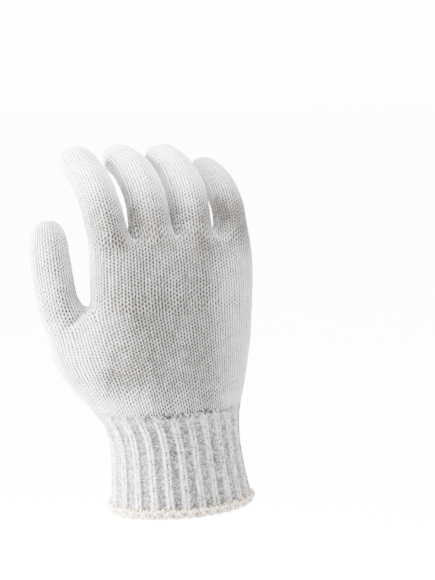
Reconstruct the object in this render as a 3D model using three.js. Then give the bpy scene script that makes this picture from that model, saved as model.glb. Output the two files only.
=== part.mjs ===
import * as THREE from 'three';

// Whole glove: millimetres and degrees, upright on its wrist opening, with the back of the hand
// toward -Y and the thumb toward -X
const WALL = 2;
const PIECE_GAP = 0.3;

// Overlocked edge round the wrist opening
const EDGE_HEIGHT = 6.4;
const EDGE_THICKNESS = 5.4;
const EDGE_BULGE = 1.4;
const EDGE_COUNT = 60;
const EDGE_SIDES = 6;

// Ribbed cuff
const CUFF_LENGTH = 52.8;
const CUFF_WIDTH = 81.5;
const CUFF_DEPTH = 54;
const RIB_COUNT = 24;
const RIB_DEPTH = 1.3;
const CUFF_SHIFT_ACROSS = -6.5;
const CUFF_SHIFT_PALMWARD = 5;

// Hand between the cuff and the crotches of the fingers
const PALM_LENGTH = 97.5;
const PALM_WIDTH = 100;
const PALM_THICKNESS = 42;
const PALM_HOLLOW = 6;
const THUMB_BALL = 5.5;
const HEEL_SWELL = 2;
const SIDE_SWELL = 2.2;
const THUMB_EDGE_SWELL = 7;
const KNUCKLE_ARCH = 5;
const CROTCH_DROP = 0.5;

// Fingers: the length is from the crotch along the middle line to the tip
const FINGER_LENGTH = 80;
const FINGER_SPACE = 2.4;
const FINGER_WIDTH = PALM_WIDTH / 4 - FINGER_SPACE;
const FINGER_THICKNESS = 22.5;
const FINGER_CURL = 78;

// Thumb: its fork as a share of the palm's length, and its base from the palm's edge and the fork
const THUMB_FORK = 0.6;
const THUMB_LENGTH = 65;
const THUMB_WIDTH = 23.2;
const THUMB_THICKNESS = 23.2;
const THUMB_REACH = 10;
const THUMB_DROP = 12;
const THUMB_PALMWARD = 20;

// Share of a ring of knitting taken by one side face and by one face of the back or palm
const SIDE = 1.5;
const FACE = 3.5;
const FINGER_HALF = [SIDE, FACE, FACE, SIDE];
const HAND_HALF = [SIDE, ...Array(8).fill(FACE), SIDE];
const WRIST_HALF = [SIDE, ...Array(10).fill(FACE), SIDE];

// Cuff sections: height as a share of its length, width and depth as shares of the cuff's, and
// share of its whole shift toward the thumb's side
const CUFF_SECTIONS = [
  { rise: 0.0, width: 1.05, depth: 1.04, shift: 0.0 },
  { rise: 0.3, width: 1.0, depth: 1.0, shift: 0.19 },
  { rise: 0.65, width: 0.985, depth: 0.98, shift: 0.42 },
  { rise: 0.85, width: 1.035, depth: 0.98, shift: 0.68 },
  { rise: 1.0, width: 1.126, depth: 0.98, shift: 1.0 },
];

// Hand sections from the thumb's fork to the crotches: shares of the palm's width and thickness
const HAND_SECTIONS = [
  { way: 0.0, shift: 0.037, lean: 0.0, width: 0.985, back: 0.47, palm: 0.5, hollow: 0.7 },
  { way: 0.34, shift: 0.041, lean: 0.02, width: 0.995, back: 0.44, palm: 0.47, hollow: 1.0 },
  { way: 0.7, shift: 0.044, lean: 0.05, width: 1.0, back: 0.4, palm: 0.43, hollow: 0.7 },
  { way: 1.0, shift: 0.047, lean: 0.1, width: 1.0, back: 0.34, palm: 0.38, hollow: 0.2 },
];

// Rows between the wrist and the fork: share of the way, and shares of the swells over the ball of
// the thumb, the heel of the hand, the little finger's side and the thumb's edge
const FORK_ROWS = [
  { way: 0.0, ball: 0.0, heel: 0.0, side: 0.0, edge: 0.0 },
  { way: 0.3, ball: 0.55, heel: 0.75, side: 1.0, edge: 0.65 },
  { way: 0.66, ball: 1.0, heel: 1.0, side: 0.85, edge: 0.9 },
];

// Fingers from the little one to the first: shares of length, width and thickness, lean toward the thumb
const FINGERS = [
  { name: 'little_finger', length: 0.87, width: 0.89, thickness: 0.9, lean: -3.5, curl: 0.98 },
  { name: 'ring_finger', length: 0.98, width: 1.08, thickness: 1.0, lean: -4.5, curl: 0.98 },
  { name: 'middle_finger', length: 1.0, width: 1.08, thickness: 1.02, lean: -2, curl: 1.0 },
  { name: 'index_finger', length: 0.91, width: 1.02, thickness: 1.0, lean: 4.5, curl: 0.85 },
];

// Finger sections: shares of the finger's sizes and of its whole curl, and the dent under each joint
const FINGER_SECTIONS = [
  { along: 0.07, width: 1.0, thickness: 1.14, curl: 0.2, dent: 0.0 },
  { along: 0.19, width: 1.0, thickness: 1.04, curl: 0.28, dent: 0.0 },
  { along: 0.32, width: 0.99, thickness: 1.0, curl: 0.42, dent: 0.0 },
  { along: 0.45, width: 1.0, thickness: 0.98, curl: 0.62, dent: 0.1 },
  { along: 0.58, width: 0.97, thickness: 0.96, curl: 0.76, dent: 0.0 },
  { along: 0.71, width: 0.96, thickness: 0.92, curl: 0.9, dent: 0.08 },
  { along: 0.84, width: 0.96, thickness: 0.9, curl: 1.0, dent: 0.0 },
  { along: 0.95, width: 0.87, thickness: 0.78, curl: 1.0, dent: 0.0 },
  { along: 0.995, width: 0.58, thickness: 0.45, curl: 1.0, dent: 0.0 },
];

// Thumb sections: shares of its sizes, lean toward the thumb side and palmward, in degrees
const THUMB_SECTIONS = [
  { along: 0.16, width: 1.05, thickness: 1.06, lean: 26, curl: 4, dent: 0.0 },
  { along: 0.33, width: 1.0, thickness: 1.02, lean: 13, curl: 8, dent: 0.0 },
  { along: 0.52, width: 0.97, thickness: 0.98, lean: 4, curl: 14, dent: 0.05 },
  { along: 0.7, width: 0.97, thickness: 0.95, lean: 0, curl: 20, dent: 0.0 },
  { along: 0.86, width: 0.92, thickness: 0.88, lean: -3, curl: 24, dent: 0.0 },
  { along: 0.98, width: 0.62, thickness: 0.57, lean: -5, curl: 26, dent: 0.0 },
];

// Colours of the white cotton and of the cream overlock thread
const WHITE = 0xf1f0ef;
const WHITE_SHADE = 0xe9e8e7;
const CREAM = 0xe9e2d4;

const rad = THREE.MathUtils.degToRad;
const RIB_TOP = EDGE_HEIGHT + PIECE_GAP + CUFF_LENGTH;

// Point of a section's outline at an angle, counted from the little finger's side over the palm
function outlinePoint(section, angle) {
  const c = Math.cos(angle);
  const s = Math.sin(angle);
  const rounding = 2 / section.power;
  const across = section.halfWidth * Math.sign(c) * Math.abs(c) ** rounding;
  const depth = (s < 0 ? section.back : section.palm) * Math.sign(s) * Math.abs(s) ** rounding;
  const hollow = s > 0 ? section.hollow * s ** 3 : 0;
  return new THREE.Vector2(across, depth - hollow);
}

// Points round half of a section, spaced along its length in the given shares
function halfRing(section, from, shares) {
  const steps = 120;
  const walk = [];
  for (let i = 0; i <= steps; i += 1) {
    walk.push(outlinePoint(section, from + (Math.PI * i) / steps));
  }
  const lengths = [0];
  for (let i = 1; i <= steps; i += 1) {
    lengths.push(lengths[i - 1] + walk[i].distanceTo(walk[i - 1]));
  }
  const whole = shares.reduce((sum, share) => sum + share, 0);
  const points = [];
  let reached = 0;
  for (const share of shares) {
    const target = (reached / whole) * lengths[steps];
    const next = Math.max(1, lengths.findIndex((length) => length >= target));
    const part = (target - lengths[next - 1]) / (lengths[next] - lengths[next - 1]);
    points.push(walk[next - 1].clone().lerp(walk[next], part));
    reached += share;
  }
  return points;
}

// Whole ring of a section, moved outward until the smoothed skin runs through its points
function ring(section, half, toPoint) {
  const outline = [...halfRing(section, 0, half), ...halfRing(section, Math.PI, half)];
  const targets = outline.map((p) => toPoint(p.x, p.y));
  let points = targets.map((p) => p.clone());
  for (let pass = 0; pass < 4; pass += 1) {
    points = points.map((p, i) => {
      const before = points[(i + points.length - 1) % points.length];
      const after = points[(i + 1) % points.length];
      const smooth = before.clone().add(after).addScaledVector(p, 4).divideScalar(6);
      return p.clone().add(targets[i]).sub(smooth);
    });
  }
  return points;
}

// Axes of a finger's section from its lean toward the thumb and its curl
function fingerAxes(lean, curl) {
  const across = new THREE.Vector3(Math.cos(rad(lean)), 0, Math.sin(rad(lean)));
  const upright = new THREE.Vector3(-Math.sin(rad(lean)), 0, Math.cos(rad(lean)));
  const palmward = new THREE.Vector3(0, 1, 0);
  const along = upright.clone().multiplyScalar(Math.cos(rad(curl)));
  along.addScaledVector(palmward, Math.sin(rad(curl)));
  const inward = palmward.clone().multiplyScalar(Math.cos(rad(curl)));
  inward.addScaledVector(upright, -Math.sin(rad(curl)));
  return { across, along, inward };
}

// Cage of four-sided faces that the skin is smoothed from
const cage = { points: [], faces: [] };

function addPoints(points) {
  const first = cage.points.length;
  cage.points.push(...points);
  return points.map((p, i) => first + i);
}

function joinRings(lower, upper, piece) {
  lower.forEach((a, i) => {
    const next = (i + 1) % lower.length;
    cage.faces.push({ corners: [a, lower[next], upper[next], upper[i]], piece });
  });
}

// Cap of four faces over the last ring of a finger
function closeTip(last, middle, piece) {
  for (const k of [1, 3, 5, 7]) {
    cage.faces.push({ corners: [last[k - 1], last[k], last[(k + 1) % 8], middle], piece });
  }
}

// One finger: rings along its bent middle line, from its base ring to its tip
function addFinger(base, finger, sections, start) {
  const centre = start.clone();
  let below = base;
  let reached = 0;
  let axes = null;
  sections.forEach((row, i) => {
    axes = fingerAxes(row.lean, row.curl);
    centre.addScaledVector(axes.along, (row.along - reached) * finger.length);
    reached = row.along;
    const half = finger.thickness * row.thickness / 2;
    const halfWidth = finger.width * row.width / 2;
    const section = { halfWidth, back: half, palm: half * (1 - row.dent), power: 2.15, hollow: 0 };
    const toPoint = (a, d) => centre.clone().addScaledVector(axes.across, a).addScaledVector(axes.inward, d);
    const here = addPoints(ring(section, FINGER_HALF, toPoint));
    joinRings(below, here, i === 0 ? 'hand_body' : finger.name);
    below = here;
  });
  const tip = centre.clone().addScaledVector(axes.along, (1 - reached) * finger.length);
  closeTip(below, addPoints([tip])[0], finger.name);
}

// Hand section of a table row: its outline and its way from outline to hand
function handRing(row) {
  const section = {
    halfWidth: PALM_WIDTH * row.width / 2,
    back: PALM_THICKNESS * row.back,
    palm: PALM_THICKNESS * row.palm,
    hollow: PALM_HOLLOW * row.hollow,
    power: 2.5,
  };
  const toPoint = (a, d) => {
    const arch = KNUCKLE_ARCH * row.way * (a / section.halfWidth) ** 2;
    return new THREE.Vector3(
      a + CUFF_SHIFT_ACROSS + row.shift * PALM_WIDTH,
      d + CUFF_SHIFT_PALMWARD + row.lean * PALM_THICKNESS,
      RIB_TOP + PALM_LENGTH * (THUMB_FORK + (1 - THUMB_FORK) * row.way) - arch,
    );
  };
  return ring(section, HAND_HALF, toPoint);
}

// Wrist ring at the top of the ribbing
function wristRing() {
  const top = CUFF_SECTIONS[CUFF_SECTIONS.length - 1];
  const depth = CUFF_DEPTH * top.depth / 2;
  const section = { halfWidth: CUFF_WIDTH * top.width / 2, back: depth, palm: depth, power: 2, hollow: 0 };
  const toPoint = (a, d) => new THREE.Vector3(a + CUFF_SHIFT_ACROSS, d + CUFF_SHIFT_PALMWARD, RIB_TOP);
  return ring(section, WRIST_HALF, toPoint);
}

// Thumb's base ring, on its own leaning plane
function thumbRing(centre) {
  const axes = fingerAxes(THUMB_SECTIONS[0].lean + 8, THUMB_SECTIONS[0].curl);
  const half = THUMB_THICKNESS * 1.14 / 2;
  const section = { halfWidth: THUMB_WIDTH * 1.14 / 2, back: half, palm: half, power: 2.15, hollow: 0 };
  const toPoint = (a, d) => centre.clone().addScaledVector(axes.across, a).addScaledVector(axes.inward, d);
  return ring(section, FINGER_HALF, toPoint);
}

// Rows of the cage from the wrist to the fork, where the hand's ring and the thumb's ring part
const forkRing = handRing(HAND_SECTIONS[0]);
const thumbCentre = new THREE.Vector3(
  CUFF_SHIFT_ACROSS - PALM_WIDTH / 2 - THUMB_REACH + THUMB_WIDTH / 4,
  THUMB_PALMWARD,
  RIB_TOP + PALM_LENGTH * THUMB_FORK - THUMB_DROP,
);
const thumbBase = thumbRing(thumbCentre);
const forkRow = [...forkRing.slice(0, 10), ...thumbBase.slice(2, 7), ...forkRing.slice(11)];
const wristRow = wristRing();
let lower = null;
for (const row of FORK_ROWS) {
  const points = wristRow.map((p, i) => {
    const point = p.clone().lerp(forkRow[i], row.way);
    const onThumb = i >= 8 && i <= 11;
    const onHeel = i >= 1 && i <= 3;
    const onSide = i <= 1 || i === 23;
    point.y += (onThumb ? row.ball * THUMB_BALL : 0) + (onHeel ? row.heel * HEEL_SWELL : 0);
    point.x += onSide ? row.side * SIDE_SWELL : 0;
    point.x -= Math.max(0, 1 - (i - 12) ** 2 / 12) * row.edge * THUMB_EDGE_SWELL;
    return point;
  });
  const here = addPoints(points);
  if (lower) {
    joinRings(lower, here, 'hand_body');
  }
  lower = here;
}
const forkPoints = addPoints(forkRow);
joinRings(lower, forkPoints, 'hand_body');
const forkBridge = addPoints([forkRing[10]])[0];
let upper = [...forkPoints.slice(0, 10), forkBridge, ...forkPoints.slice(15)];
const thumbStart = [forkBridge, forkPoints[9], ...forkPoints.slice(10, 15), forkPoints[15]];
const thumbSizes = { name: 'thumb', length: THUMB_LENGTH, width: THUMB_WIDTH, thickness: THUMB_THICKNESS };
addFinger(thumbStart, thumbSizes, THUMB_SECTIONS, thumbCentre);

// Hand above the fork
for (const row of HAND_SECTIONS.slice(1)) {
  const here = addPoints(handRing(row));
  joinRings(upper, here, 'hand_body');
  upper = here;
}

// Crotches: a bridge point between the back and the palm in each
const topRing = handRing(HAND_SECTIONS[HAND_SECTIONS.length - 1]);
const bridges = [3, 5, 7].map((palmSide) => {
  const middle = topRing[palmSide].clone().lerp(topRing[20 - palmSide], 0.5);
  middle.z -= CROTCH_DROP;
  return addPoints([middle])[0];
});

// Fingers on the four parts of the top ring
FINGERS.forEach((row, n) => {
  const palmSide = 1 + 2 * n;
  const backSide = 17 - 2 * n;
  const little = n === 0 ? upper[0] : bridges[n - 1];
  const thumbward = n === 3 ? upper[10] : bridges[n];
  const palmPart = upper.slice(palmSide, palmSide + 3);
  const backPart = upper.slice(backSide, backSide + 3);
  const base = [little, ...palmPart, thumbward, ...backPart];
  const baseCentre = new THREE.Vector3();
  const corners = [palmSide, palmSide + 2, backSide, backSide + 2];
  corners.forEach((k) => baseCentre.addScaledVector(topRing[k % 20], 0.25));
  const sizes = {
    name: row.name,
    length: FINGER_LENGTH * row.length,
    width: FINGER_WIDTH * row.width,
    thickness: FINGER_THICKNESS * row.thickness,
  };
  const sections = FINGER_SECTIONS.map((section) => ({
    ...section,
    lean: row.lean,
    curl: section.curl * FINGER_CURL * row.curl,
  }));
  addFinger(base, sizes, sections, baseCentre);
});

// Smoothing of the cage: every face is parted in four and the points are averaged
function smooth(mesh) {
  const points = mesh.points.map((p) => p.clone());
  const faces = [];
  const edges = new Map();
  const sums = mesh.points.map(() => ({ faces: [], middles: [], rim: [] }));
  const average = (list) => {
    const sum = new THREE.Vector3();
    list.forEach((p) => sum.add(p));
    return sum.divideScalar(list.length);
  };
  const faceCentres = mesh.faces.map((face) => average(face.corners.map((k) => mesh.points[k])));
  mesh.faces.forEach((face, f) => {
    face.corners.forEach((a, i) => {
      const b = face.corners[(i + 1) % 4];
      const key = a < b ? `${a} ${b}` : `${b} ${a}`;
      const edge = edges.get(key) ?? { a, b, sides: [] };
      edge.sides.push(f);
      edges.set(key, edge);
      sums[a].faces.push(faceCentres[f]);
    });
  });
  for (const edge of edges.values()) {
    const middle = average([mesh.points[edge.a], mesh.points[edge.b]]);
    const inside = edge.sides.length === 2;
    const about = edge.sides.map((f) => faceCentres[f]);
    edge.index = points.length;
    points.push(inside ? average([middle, middle, ...about]) : middle);
    for (const end of [edge.a, edge.b]) {
      sums[end].middles.push(middle);
      if (!inside) {
        sums[end].rim.push(middle);
      }
    }
  }
  mesh.points.forEach((p, k) => {
    const { faces: around, middles, rim } = sums[k];
    const n = around.length;
    if (rim.length === 2) {
      points[k] = average([p, ...rim, p]);
      return;
    }
    points[k] = average(around).addScaledVector(average(middles), 2);
    points[k].addScaledVector(p, n - 3).divideScalar(n);
  });
  mesh.faces.forEach((face, f) => {
    const centre = points.length;
    points.push(faceCentres[f]);
    const at = (a, b) => edges.get(a < b ? `${a} ${b}` : `${b} ${a}`).index;
    face.corners.forEach((a, i) => {
      const after = face.corners[(i + 1) % 4];
      const before = face.corners[(i + 3) % 4];
      faces.push({ corners: [a, at(a, after), centre, at(before, a)], piece: face.piece });
    });
  });
  return { points, faces };
}

const skin = smooth(cage);

// Outward direction of the skin at each of its points, and the points next to each
const outward = skin.points.map(() => new THREE.Vector3());
const beside = skin.points.map(() => new Set());
for (const face of skin.faces) {
  face.corners.forEach((k, i) => beside[k].add(face.corners[(i + 1) % 4]).add(face.corners[(i + 3) % 4]));
  const [a, b, c, d] = face.corners.map((k) => skin.points[k]);
  const facing = c.clone().sub(a).cross(d.clone().sub(b));
  face.corners.forEach((k) => outward[k].add(facing));
}
outward.forEach((direction) => direction.normalize());

function meshOf(positions, triangles, name, color) {
  const geometry = new THREE.BufferGeometry();
  const flat = positions.flatMap((p) => [p.x, p.y, p.z]);
  geometry.setAttribute('position', new THREE.Float32BufferAttribute(flat, 3));
  geometry.setIndex(triangles);
  geometry.computeVertexNormals();
  const material = new THREE.MeshStandardMaterial({ color, roughness: 0.95, metalness: 0 });
  material.name = name;
  const mesh = new THREE.Mesh(geometry, material);
  mesh.name = name;
  return mesh;
}

// One piece of the skin as a wall of even thickness, drawn back a little from its neighbours
function skinPiece(name, color) {
  const faces = skin.faces.filter((face) => face.piece === name);
  const local = new Map();
  const open = new Map();
  for (const face of faces) {
    face.corners.forEach((a, i) => {
      const b = face.corners[(i + 1) % 4];
      if (!local.has(a)) {
        local.set(a, local.size);
      }
      if (open.has(`${b} ${a}`)) {
        open.delete(`${b} ${a}`);
      } else {
        open.set(`${a} ${b}`, [a, b]);
      }
    });
  }
  const rim = new Set([...open.values()].flat());
  const outside = [];
  const inside = [];
  for (const a of local.keys()) {
    const point = skin.points[a].clone();
    const through = outward[a].clone();
    if (rim.has(a)) {
      const own = [...beside[a]].find((b) => local.has(b) && !rim.has(b));
      const other = [...beside[a]].find((b) => !local.has(b)) ?? a;
      const back = skin.points[own].clone().sub(skin.points[other]);
      point.add(back.setLength(PIECE_GAP / 2));
      through.setZ(other === a ? 0 : through.z).normalize();
    }
    outside.push(point);
    inside.push(point.clone().addScaledVector(through, -WALL));
  }
  const count = local.size;
  const triangles = [];
  const addQuad = (a, b, c, d) => triangles.push(a, b, c, a, c, d);
  for (const face of faces) {
    const [a, b, c, d] = face.corners.map((k) => local.get(k));
    addQuad(a, b, c, d);
    addQuad(d + count, c + count, b + count, a + count);
  }
  for (const [a, b] of open.values()) {
    const [p, q] = [local.get(a), local.get(b)];
    if (a < b) {
      addQuad(p, p + count, q + count, q);
    } else {
      addQuad(q, p, p + count, q + count);
    }
  }
  return meshOf([...outside, ...inside], triangles, name, color);
}

// Cuff outline at a height: centre, half width and half depth between the table's rows
function cuffAt(share) {
  const after = CUFF_SECTIONS.findIndex((row) => row.rise >= share);
  const high = CUFF_SECTIONS[Math.max(1, after)];
  const low = CUFF_SECTIONS[Math.max(1, after) - 1];
  const part = (share - low.rise) / (high.rise - low.rise);
  const mix = (from, to) => from + (to - from) * part;
  return {
    across: CUFF_SHIFT_ACROSS * mix(low.shift, high.shift),
    palmward: CUFF_SHIFT_PALMWARD * share,
    halfWidth: CUFF_WIDTH * mix(low.width, high.width) / 2,
    halfDepth: CUFF_DEPTH * mix(low.depth, high.depth) / 2,
  };
}

// Ring of points of the cuff, evenly spaced by length, moved in by a named amount at each
function cuffRing(share, count, insets, up) {
  const cuff = cuffAt(share);
  const section = { halfWidth: cuff.halfWidth, back: cuff.halfDepth, palm: cuff.halfDepth, power: 2, hollow: 0 };
  const half = Array(count / 2).fill(1);
  const outline = [...halfRing(section, 0, half), ...halfRing(section, Math.PI, half)];
  return outline.map((p, i) => {
    const normal = new THREE.Vector2(p.x / cuff.halfWidth ** 2, p.y / cuff.halfDepth ** 2).normalize();
    const q = p.clone().addScaledVector(normal, -insets[i % insets.length]);
    return new THREE.Vector3(q.x + cuff.across, q.y + cuff.palmward, up);
  });
}

// Tube between two stacks of rings, closed at both ends; the last stack is its inner wall
function ringStack(rings, name, color) {
  const positions = rings.flat();
  const count = rings[0].length;
  const triangles = [];
  rings.forEach((unused, r) => {
    const other = (r + 1) % rings.length;
    for (let i = 0; i < count; i += 1) {
      const next = (i + 1) % count;
      const [a, b] = [r * count + i, r * count + next];
      const [c, d] = [other * count + next, other * count + i];
      triangles.push(a, b, c, a, c, d);
    }
  });
  return meshOf(positions, triangles, name, color);
}

// Ribbed cuff: raised and sunk bands by turns, both faces following them
function ribCuff() {
  const low = EDGE_HEIGHT + PIECE_GAP;
  const outer = [0, 0, RIB_DEPTH, RIB_DEPTH];
  const inner = outer.map((inset) => inset + WALL);
  const rows = CUFF_SECTIONS.map((row) => row.rise);
  const height = (share) => low + share * (CUFF_LENGTH - PIECE_GAP / 2);
  const outside = rows.map((share) => cuffRing(share, RIB_COUNT * 4, outer, height(share)));
  const inside = rows.map((share) => cuffRing(share, RIB_COUNT * 4, inner, height(share)));
  return ringStack([...outside, ...inside.reverse()], 'rib_cuff', WHITE_SHADE);
}

// Overlocked edge: a rounded cord round the end of the cuff
function cuffEdge() {
  const middle = WALL / 2 + RIB_DEPTH / 2 - EDGE_BULGE / 2;
  const rings = [];
  for (let k = 0; k < EDGE_SIDES; k += 1) {
    const angle = (2 * Math.PI * k) / EDGE_SIDES + Math.PI / EDGE_SIDES - Math.PI / 2;
    const inset = middle - (EDGE_THICKNESS / 2) * Math.cos(angle);
    const up = EDGE_HEIGHT / 2 + (EDGE_HEIGHT / 2) * Math.sin(angle) / Math.cos(Math.PI / EDGE_SIDES);
    rings.push(cuffRing(0, EDGE_COUNT, [inset], up));
  }
  return ringStack(rings, 'cuff_edge', CREAM);
}

const group = new THREE.Group();
group.name = 'cotton_work_glove';
group.add(skinPiece('hand_body', WHITE));
for (const name of ['thumb', 'index_finger', 'middle_finger', 'ring_finger', 'little_finger']) {
  group.add(skinPiece(name, WHITE));
}
group.add(ribCuff());
group.add(cuffEdge());

export default group;
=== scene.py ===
import math

import bpy
import numpy as np
from mathutils import Matrix, Vector


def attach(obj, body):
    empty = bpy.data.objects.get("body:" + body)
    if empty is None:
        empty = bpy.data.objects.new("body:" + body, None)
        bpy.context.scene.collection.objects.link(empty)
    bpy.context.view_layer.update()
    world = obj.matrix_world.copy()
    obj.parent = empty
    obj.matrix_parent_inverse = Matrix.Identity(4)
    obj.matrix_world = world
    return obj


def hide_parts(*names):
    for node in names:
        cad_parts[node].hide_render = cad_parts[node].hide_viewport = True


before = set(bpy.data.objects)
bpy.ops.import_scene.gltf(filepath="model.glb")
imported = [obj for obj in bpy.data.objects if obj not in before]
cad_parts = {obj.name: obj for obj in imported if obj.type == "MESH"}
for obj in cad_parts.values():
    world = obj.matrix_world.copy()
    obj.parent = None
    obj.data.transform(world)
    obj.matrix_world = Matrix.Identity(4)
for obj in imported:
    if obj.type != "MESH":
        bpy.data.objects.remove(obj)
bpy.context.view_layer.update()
bpy.ops.object.select_all(action="DESELECT")

# Millimetres in the tables below; the pieces themselves are in metres
MM = 0.001

# Walls and the overlocked edge
WALL = 2.0
EDGE_HEIGHT = 6.4
EDGE_THICKNESS = 5.4
EDGE_BULGE = 1.4
PIECE_GAP = 0.3

# Ribbed cuff
CUFF_LENGTH = 52.8
CUFF_WIDTH = 81.5
CUFF_DEPTH = 54.0
RIB_COUNT = 24
RIB_DEPTH = 1.3
RIB_PHASE = 0.125
CUFF_SHIFT_ACROSS = -6.5
CUFF_SHIFT_PALMWARD = 5.0
RIB_TOP = EDGE_HEIGHT + PIECE_GAP + CUFF_LENGTH

# Hand
PALM_LENGTH = 97.5
PALM_WIDTH = 100.0
PALM_THICKNESS = 42.0
PALM_HOLLOW = 6.0
THUMB_BALL = 5.5
HEEL_SWELL = 2.0
SIDE_SWELL = 2.2
THUMB_EDGE_SWELL = 7.0
KNUCKLE_ARCH = 5.0
CROTCH_DROP = 0.5

# Fingers and thumb
FINGER_LENGTH = 80.0
FINGER_SPACE = 2.4
FINGER_WIDTH = PALM_WIDTH / 4 - FINGER_SPACE
FINGER_THICKNESS = 22.5
FINGER_CURL = 78.0
THUMB_FORK = 0.6
THUMB_LENGTH = 65.0
THUMB_WIDTH = 23.2
THUMB_THICKNESS = 23.2
THUMB_REACH = 10.0
THUMB_DROP = 12.0
THUMB_PALMWARD = 20.0

# Wales of knitting in one side face and in one face of the back or palm
SIDE = 1.5
FACE = 3.5
FINGER_HALF = [SIDE, FACE, FACE, SIDE]
HAND_HALF = [SIDE] + [FACE] * 8 + [SIDE]
WRIST_HALF = [SIDE] + [FACE] * 10 + [SIDE]

# Crease from the thumb's crotch down the back of its base
CREASE = np.array([(-56.5, 7.0, 117.5), (-62.8, 5.6, 112.0), (-69.5, 9.5, 104.5)])
CREASE_DEPTH = 1.5

# Stitches: samples across a wale and up a course, and how deep the yarn's gaps are
ACROSS_WALE = 6
UP_COURSE = 4
YARN_DEPTH = 1.0
YARN_PROUD = 0.15
LEG_SLANT = 0.27
LEG_WIDTH = 0.19
LEG_LENGTH = 0.95
TIP_FOLD = 1.5

# Shape of sections: 2 is an ellipse, and more is squarer
CUFF_SQUARENESS = 2
HAND_SQUARENESS = 2.5
FINGER_SQUARENESS = 2.15

# The thumb's base against its first section: how much wider, and degrees more of lean
THUMB_BASE_FLARE = 1.14
THUMB_BASE_LEAN = 8

# Ribbing: samples round a rib and up the cuff, the same on its lining, a course's height, and how far the
# ribbing reaches down into the edge
RIB_SAMPLES = 20
RIB_ROWS = 128
LINING_SAMPLES = 4
LINING_ROWS = 13
RIB_COURSE = 2.15
EDGE_OVERLAP = 1.4

# Edge threads: how many wraps and chain links go round, their thickness, the links' distance outward, and the
# grain of the skin that joins them
WRAPS = 104
LINKS = 34
WRAP_THREAD = 0.52
LINK_THREAD = 0.5
LINK_OUTWARD = 2.15
THREAD_GRAIN = 0.34
EDGE_INSET = WALL / 2 + RIB_DEPTH / 2 - EDGE_BULGE / 2
UP = Vector((0, 0, 1))

# Camera and photo: millimetres to the target, the photo's height in pixels and its pixels to the millimetre
CAMERA_DISTANCE = 900
PHOTO_HEIGHT = 580
PHOTO_SCALE = 1.75
SENSOR = 36

# Softboxes: name, place left of, in front of and above the glove's middle, size, power
SOFTBOXES = [
    ("key softbox", (0.95, 0.22, 0.3), 0.6, 175),
    ("rim softbox", (-0.95, -0.1, 0.3), 0.5, 9),
    ("top softbox", (0.05, -0.1, 1.0), 0.6, 75),
    ("front softbox", (-0.2, 1.2, 0.3), 0.8, 9.5),
]

# Height, width, depth and shift toward the thumb's side of the cuff, as shares of its own
CUFF_SECTIONS = [
    (0.0, 1.05, 1.04, 0.0),
    (0.3, 1.0, 1.0, 0.19),
    (0.65, 0.985, 0.98, 0.42),
    (0.85, 1.035, 0.98, 0.68),
    (1.0, 1.126, 0.98, 1.0),
]

# Hand from the thumb's fork to the crotches: way, shift, lean, width, back, palm, hollow
HAND_SECTIONS = [
    (0.0, 0.037, 0.0, 0.985, 0.47, 0.5, 0.7),
    (0.34, 0.041, 0.02, 0.995, 0.44, 0.47, 1.0),
    (0.7, 0.044, 0.05, 1.0, 0.4, 0.43, 0.7),
    (1.0, 0.047, 0.1, 1.0, 0.34, 0.38, 0.2),
]
HAND_COURSES = [6, 7, 6]

# Wrist to fork: way, and shares of the swells of the thumb's ball, heel, side and thumb's edge
FORK_ROWS = [(0.0, 0.0, 0.0, 0.0, 0.0), (0.3, 0.55, 0.75, 1.0, 0.65), (0.66, 1.0, 1.0, 0.85, 0.9)]
FORK_COURSES = [8, 11, 10]

# Fingers: name, length, width, thickness, lean, curl
FINGERS = [
    ("little_finger", 0.87, 0.89, 0.9, -3.5, 0.98),
    ("ring_finger", 0.98, 1.08, 1.0, -4.5, 0.98),
    ("middle_finger", 1.0, 1.08, 1.02, -2, 1.0),
    ("index_finger", 0.91, 1.02, 1.0, 4.5, 0.85),
]

# Sections of a finger: along, width, thickness, curl, dent
FINGER_SECTIONS = [
    (0.07, 1.0, 1.14, 0.2, 0.0),
    (0.19, 1.0, 1.04, 0.28, 0.0),
    (0.32, 0.99, 1.0, 0.42, 0.0),
    (0.45, 1.0, 0.98, 0.62, 0.1),
    (0.58, 0.97, 0.96, 0.76, 0.0),
    (0.71, 0.96, 0.92, 0.9, 0.08),
    (0.84, 0.96, 0.9, 1.0, 0.0),
    (0.95, 0.87, 0.78, 1.0, 0.0),
    (0.995, 0.58, 0.45, 1.0, 0.0),
]
FINGER_COURSES = [3, 5, 5, 5, 5, 5, 5, 4, 2]

# Sections of the thumb: along, width, thickness, lean, curl, dent
THUMB_SECTIONS = [
    (0.16, 1.05, 1.06, 26, 4, 0.0),
    (0.33, 1.0, 1.02, 13, 8, 0.0),
    (0.52, 0.97, 0.98, 4, 14, 0.05),
    (0.7, 0.97, 0.95, 0, 20, 0.0),
    (0.86, 0.92, 0.88, -3, 24, 0.0),
    (0.98, 0.62, 0.57, -5, 26, 0.0),
]
THUMB_COURSES = [5, 5, 6, 6, 5, 4]


def outline(half_width, back, palm, hollow, power, angles):
    """Points of a section, counted from the little finger's side over the palm."""
    c, s = np.cos(angles), np.sin(angles)
    across = half_width * np.sign(c) * np.abs(c) ** (2 / power)
    depth = np.where(s < 0, back, palm) * np.sign(s) * np.abs(s) ** (2 / power)
    return np.stack([across, depth - np.where(s > 0, hollow * s**3, 0)], 1)


def half_ring(section, start, shares):
    """Points round half of a section, spaced along its length in the given shares."""
    walk = outline(*section, start + np.linspace(0, math.pi, 121))
    lengths = np.concatenate([[0], np.cumsum(np.linalg.norm(np.diff(walk, axis=0), axis=1))])
    reached = np.cumsum([0, *shares[:-1]]) / sum(shares) * lengths[-1]
    return np.stack([np.interp(reached, lengths, walk[:, k]) for k in (0, 1)], 1)


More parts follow.
